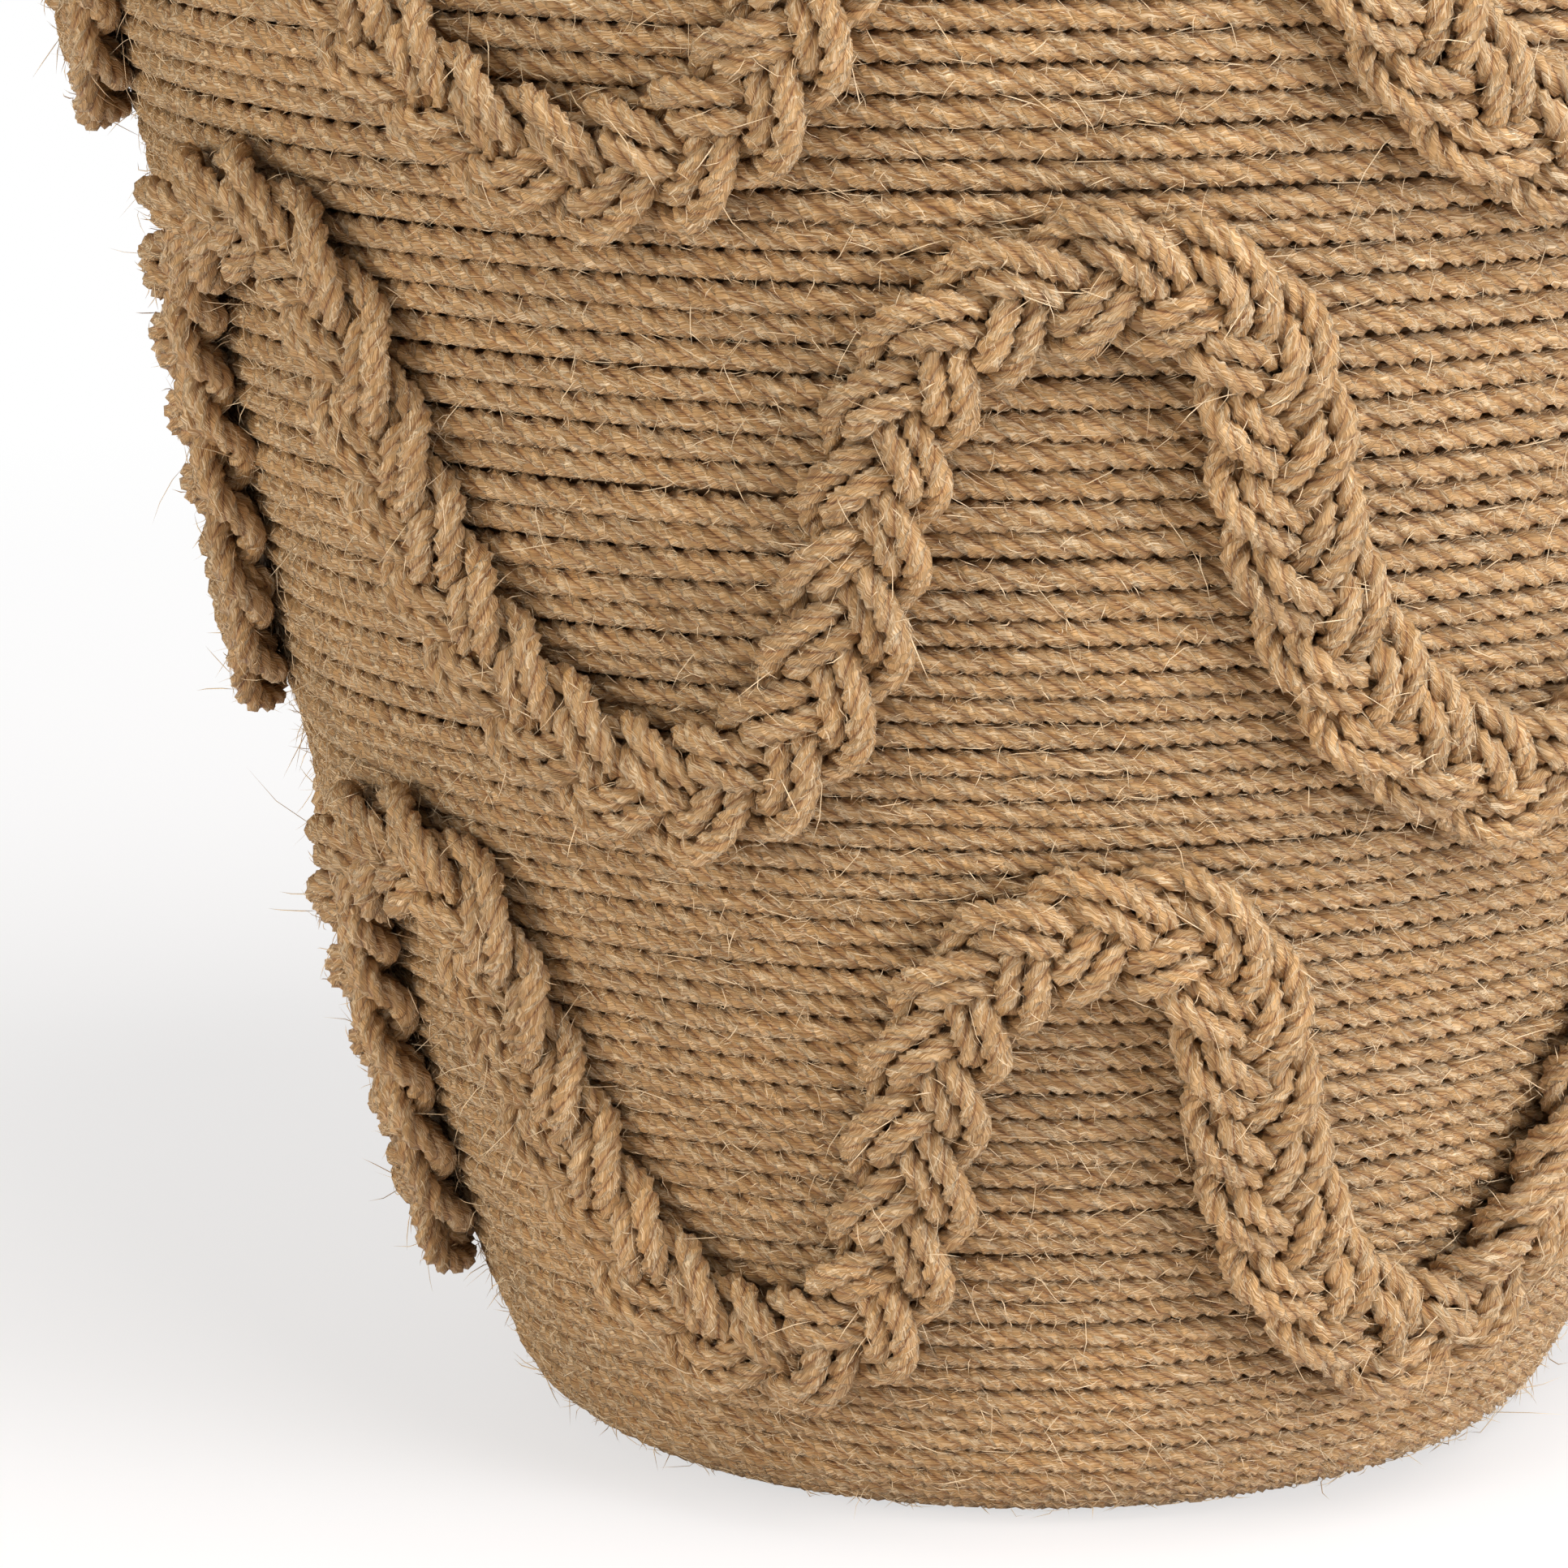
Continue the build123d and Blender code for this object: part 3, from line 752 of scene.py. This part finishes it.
def fibre_board():
    """Moulded brown board: fine flecks, and dark on the side that the rope covers, as glue and as
    painted shade in the gaps between the rows.
    """
    made, tree, shader = new_material("fibre_board")
    space = node(tree, "ShaderNodeTexCoord").outputs
    fleck = solid_noise(tree, space["Object"], FLECK_SCALE, FLECK_DETAIL)
    stain = solid_noise(tree, space["Object"], STAIN_SCALE, STAIN_DETAIL)
    blend = added(tree, times(tree, fleck, FLECK_SHARE), times(tree, stain, STAIN_SHARE))
    colour = colour_ramp(tree, blend, BOARD_STOPS)
    # The outer side shows only in the gaps between the rows: painted dark as shade there, and as glue
    across = node(tree, "ShaderNodeVectorMath", {0: space["Object"], 1: (1, 1, 0)}, operation="MULTIPLY")
    facing = node(tree, "ShaderNodeVectorMath", {0: across.outputs[0], 1: space["Normal"]},
                  operation="DOT_PRODUCT").outputs["Value"]
    outer = maths(tree, "GREATER_THAN", facing, 0.0)
    tree.links.new(blend_colour(tree, outer, colour, BOARD_GLUE_AND_SHADE), shader.inputs["Base Color"])
    bump = node(tree, "ShaderNodeBump", {"Strength": 0.35, "Distance": 0.4 * MM, "Height": fleck})
    tree.links.new(bump.outputs[0], shader.inputs["Normal"])
    shader.inputs["Roughness"].default_value = 0.85
    return made


# The hamper and its lid

JUTE_ROPE = jute("jute_rope", LOWER_SWELL, LOWER_LAY)
JUTE_BRAID = jute("jute_braid", BRAID_ROPE_RADIUS, BRAID_ROPE_LAY)
JUTE_BEAD = jute("jute_bead", BEAD_RADIUS, BEAD_LAY)
JUTE_HANDLE = jute("jute_handle", HANDLE_RADIUS, HANDLE_LAY)
LOOSE_FIBRE = loose_fibre()
FIBRE_BOARD = fibre_board()
NEAR_FLOOR = 3 * ROPE_RADIUS


def floor_flat(piece):
    """Press what would reach below the floor flat on it."""
    for vertex in piece.data.vertices:
        vertex.co.z = max(vertex.co.z, 0.0)


def make_hamper():
    """The wound wall, its braids and the bead round the mouth."""
    ropes = wall_ropes()
    for name, rope in ropes.items():
        piece = laid_rope(name + "_laid", [rope], PRESSED_SECTION, upright=True)
        if rope.points[0][2] < NEAR_FLOOR:
            floor_flat(piece)
        dress(piece, "hamper", "jute_rope", JUTE_ROPE, name)
    braids = []
    for number, row in enumerate(BRAID_ROWS, 1):
        name = f"wave_braid_{number}"
        for letter, strand in zip("abc", braid_ropes(row)):
            piece = laid_rope(f"{name}_strand_{letter}", strand, OPEN_SECTION)
            dress(piece, "hamper", "jute_braid", JUTE_BRAID, name)
            braids += strand
    bead = ring_rope(RIM_BEAD[0], RIM_BEAD[1] - BEAD_SINK, BEAD_LAY, BEAD_SWELL)
    piece = laid_rope("rim_rope_laid", [bead], OPEN_SECTION, upright=True)
    dress(piece, "hamper", "jute_bead", JUTE_BEAD, "rim_rope")
    outer = [rope for name, rope in ropes.items() if name != "base_rope"]
    for number, rope in enumerate(outer, 1):
        add_fibres(f"wall_{number}", "hamper", "jute_rope", [rope],
                   WALL_HAIRS + WALL_HAIRS_GAIN * number, WALL_FUZZ)
    add_fibres("braid", "hamper", "jute_braid", braids,
               BRAID_HAIRS, BRAID_FUZZ, BRAID_FIBRE_SPREAD)
    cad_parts["core_shell"].data.materials[0] = FIBRE_BOARD


def loop_points():
    """The handle's line, up from inside the knot, round the loop and down again."""
    flare = math.degrees(math.acos((HANDLE_LEG_OFFSET + HANDLE_FLARE_RADIUS)
                                   / (HANDLE_FLARE_RADIUS + HANDLE_LOOP_RADIUS)))
    foot = KNOT_TOP - HANDLE_TUCK
    leg = LID_APEX + HANDLE_LEG_RISE - foot
    _, x, z, _ = outline(HANDLE_LEG_OFFSET, foot, 90.0, [
        (leg, 90.0), arc(HANDLE_FLARE_RADIUS, 90.0, 90.0 - flare),
        arc(HANDLE_LOOP_RADIUS, 90.0 - flare, 270.0 + flare),
        arc(HANDLE_FLARE_RADIUS, 270.0 + flare, 270.0), (leg, 270.0)])
    return np.column_stack([x, 0 * x, z])


def knot_points():
    """A tight plaited knot below the lid, and the way out of it at each point."""
    t = np.linspace(0, 2 * math.pi, KNOT_RINGS, endpoint=False)
    weave = KNOT_BIGHTS * t
    reach = KNOT_RADIUS - KNOT_ROPE_RADIUS - KNOT_WEAVE * (1 - np.cos(weave))
    height = KNOT_TOP - KNOT_HEIGHT / 2 + (KNOT_HEIGHT / 2 - KNOT_ROPE_RADIUS) * np.sin(weave)
    outward = np.column_stack([np.cos(KNOT_TURNS * t), np.sin(KNOT_TURNS * t), 0 * t])
    points = outward * reach[:, None]
    points[:, 2] = height
    return points, outward


def make_lid():
    """The wound lid, the bead under its edge, its loop and the knot that holds the loop."""
    ropes = lid_ropes()
    for name, rope in ropes.items():
        piece = laid_rope(name + "_laid", [rope], PRESSED_SECTION, upright=True)
        dress(piece, "lid", "jute_rope", JUTE_ROPE, name)
    bead = ring_rope(*LID_BEAD, BEAD_LAY, BEAD_SWELL)
    piece = laid_rope("lid_edge_rope_laid", [bead], OPEN_SECTION, upright=True)
    dress(piece, "lid", "jute_bead", JUTE_BEAD, "lid_edge_rope")
    line = loop_points()
    # The loop bends tightly, so it gets the points of twice its length
    line = even_points(line, ring_count(2 * run_lengths(line)[-1], HANDLE_LAY))
    handle = Rope(line, np.tile([0.0, -1.0, 0.0], (len(line), 1)), HANDLE_LAY, HANDLE_RADIUS)
    piece = laid_rope("lid_handle_laid", [handle], OPEN_SECTION)
    dress(piece, "lid", "jute_handle", JUTE_HANDLE, "lid_handle")
    add_fibres("lid", "lid", "jute_rope", [*ropes.values(), handle], LID_HAIRS, LID_FUZZ)
    line, outward = knot_points()
    knot = Rope(line, outward, KNOT_LAY, KNOT_ROPE_RADIUS, closed=True)
    collar = ring_rope(COLLAR_RADIUS, KNOT_TOP - COLLAR_DROP, KNOT_LAY, COLLAR_ROPE_RADIUS)
    piece = laid_rope("handle_knot_laid", [knot, collar], OPEN_SECTION)
    dress(piece, "lid", "jute_handle", JUTE_HANDLE, "handle_knot")
    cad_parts["lid_core"].data.materials[0] = FIBRE_BOARD


make_hamper()
make_lid()
for section in (PRESSED_SECTION, OPEN_SECTION, FIBRE_SECTION):
    bpy.data.objects.remove(section)


# Stage, light and camera

FLOOR_RADIUS, FLOOR_GAP, FLOOR_SEGMENTS = 1.25, 0.1 * MM, 96
FLOOR_GLOW, FLOOR_FADE_START = 0.64, 0.35
FLOOR_COLOUR = (0.93, 0.885, 0.87, 1)
ROOM_LIGHT = 0.42
LAMP_AIM = Vector((0, 0, 0.25))
RIGHT_PLACE, RIGHT_SIZE, RIGHT_POWER, RIGHT_TINT = (1.9, -1.3, 0.6), 1.0, 37, (0.97, 1.0, 1.06)
LEFT_PLACE, LEFT_SIZE, LEFT_POWER, LEFT_TINT = (-1.9, -1.2, 0.5), 1.1, 22, (1.03, 1.0, 0.93)
TOP_PLACE, TOP_SIZE, TOP_POWER, TOP_TINT = (0.6, -1.0, 2.2), 1.4, 48, (1, 1, 1)
CAMERA_PLACE = Vector((0, -1.724, 0.534))
CAMERA_TILT, CAMERA_YAW, CAMERA_ROLL = 12.91, -1.91, -0.35
CAMERA_LENS, CAMERA_SENSOR, CAMERA_REACH = 179.1, 36, 50


def plain_view(tree):
    """1 for what the camera sees, straight or by gloss or glass."""
    rays = node(tree, "ShaderNodeLightPath").outputs
    seen = maths(tree, "MAXIMUM", rays["Is Camera Ray"], rays["Is Glossy Ray"])
    return maths(tree, "MAXIMUM", seen, rays["Is Transmission Ray"])


def make_floor():
    """A pale disc that takes the shadow and fades to white at its edge."""
    work = bmesh.new()
    bmesh.ops.create_circle(work, cap_ends=True, segments=FLOOR_SEGMENTS, radius=FLOOR_RADIUS)
    bmesh.ops.translate(work, verts=work.verts, vec=(0, 0, -FLOOR_GAP))
    mesh = bpy.data.meshes.new("floor")
    work.to_mesh(mesh)
    work.free()
    floor = bpy.data.objects.new("floor", mesh)
    bpy.context.scene.collection.objects.link(floor)
    made, tree, shader = new_material("pale_floor")
    shader.inputs["Base Color"].default_value = FLOOR_COLOUR
    shader.inputs["Roughness"].default_value = 0.9
    seen = plain_view(tree)
    white = node(tree, "ShaderNodeEmission").outputs[0]
    here = node(tree, "ShaderNodeTexCoord").outputs["Object"]
    away = node(tree, "ShaderNodeVectorMath", {0: here}, operation="LENGTH").outputs["Value"]
    fade = spread_out(tree, away, FLOOR_FADE_START, FLOOR_RADIUS, FLOOR_GLOW, 1.0)
    share = maths(tree, "MULTIPLY", seen, fade)
    mix = node(tree, "ShaderNodeMixShader", {0: share, 1: shader.outputs[0], 2: white})
    tree.links.new(mix.outputs[0], tree.nodes["Material Output"].inputs[0])
    mesh.materials.append(made)


def area_light(name, place, size, power, tint):
    """A square lamp that faces the middle of the hamper."""
    data = bpy.data.lights.new(name, "AREA")
    data.size, data.energy, data.color = size, power, tint
    lamp = bpy.data.objects.new(name, data)
    lamp.location = place
    lamp.rotation_euler = (LAMP_AIM - Vector(place)).to_track_quat("-Z", "Y").to_euler()
    bpy.context.scene.collection.objects.link(lamp)


def make_light():
    """A white room that gives soft light, and three lamps."""
    world = bpy.data.worlds.new("soft_room")
    world.use_nodes = True
    bpy.context.scene.world = world
    sky = world.node_tree.nodes["Background"]
    sky.inputs["Color"].default_value = (1, 1, 1, 1)
    seen = plain_view(world.node_tree)
    strength = spread_out(world.node_tree, seen, 0.0, 1.0, ROOM_LIGHT, 1.0)
    world.node_tree.links.new(strength, sky.inputs["Strength"])
    area_light("right_softbox", RIGHT_PLACE, RIGHT_SIZE, RIGHT_POWER, RIGHT_TINT)
    area_light("left_softbox", LEFT_PLACE, LEFT_SIZE, LEFT_POWER, LEFT_TINT)
    area_light("top_softbox", TOP_PLACE, TOP_SIZE, TOP_POWER, TOP_TINT)


def make_camera():
    """A camera at the photograph's place, turned by its yaw, tilt and roll."""
    data = bpy.data.cameras.new("camera")
    data.lens, data.sensor_width = CAMERA_LENS, CAMERA_SENSOR
    data.clip_end = CAMERA_REACH
    yaw, tilt, roll = (math.radians(a) for a in (CAMERA_YAW, CAMERA_TILT, CAMERA_ROLL))
    ahead = Vector((math.sin(yaw) * math.cos(tilt), math.cos(yaw) * math.cos(tilt), -math.sin(tilt)))
    level = ahead.cross(Vector((0, 0, 1))).normalized()
    above = level.cross(ahead)
    right = level * math.cos(roll) + above * math.sin(roll)
    camera = bpy.data.objects.new("camera", data)
    camera.matrix_world = Matrix.Translation(CAMERA_PLACE) @ Matrix(
        (right, right.cross(ahead), -ahead)).transposed().to_4x4()
    bpy.context.scene.collection.objects.link(camera)
    bpy.context.scene.camera = camera


make_floor()
make_light()
make_camera()
bpy.context.scene.view_settings.view_transform = "Standard"
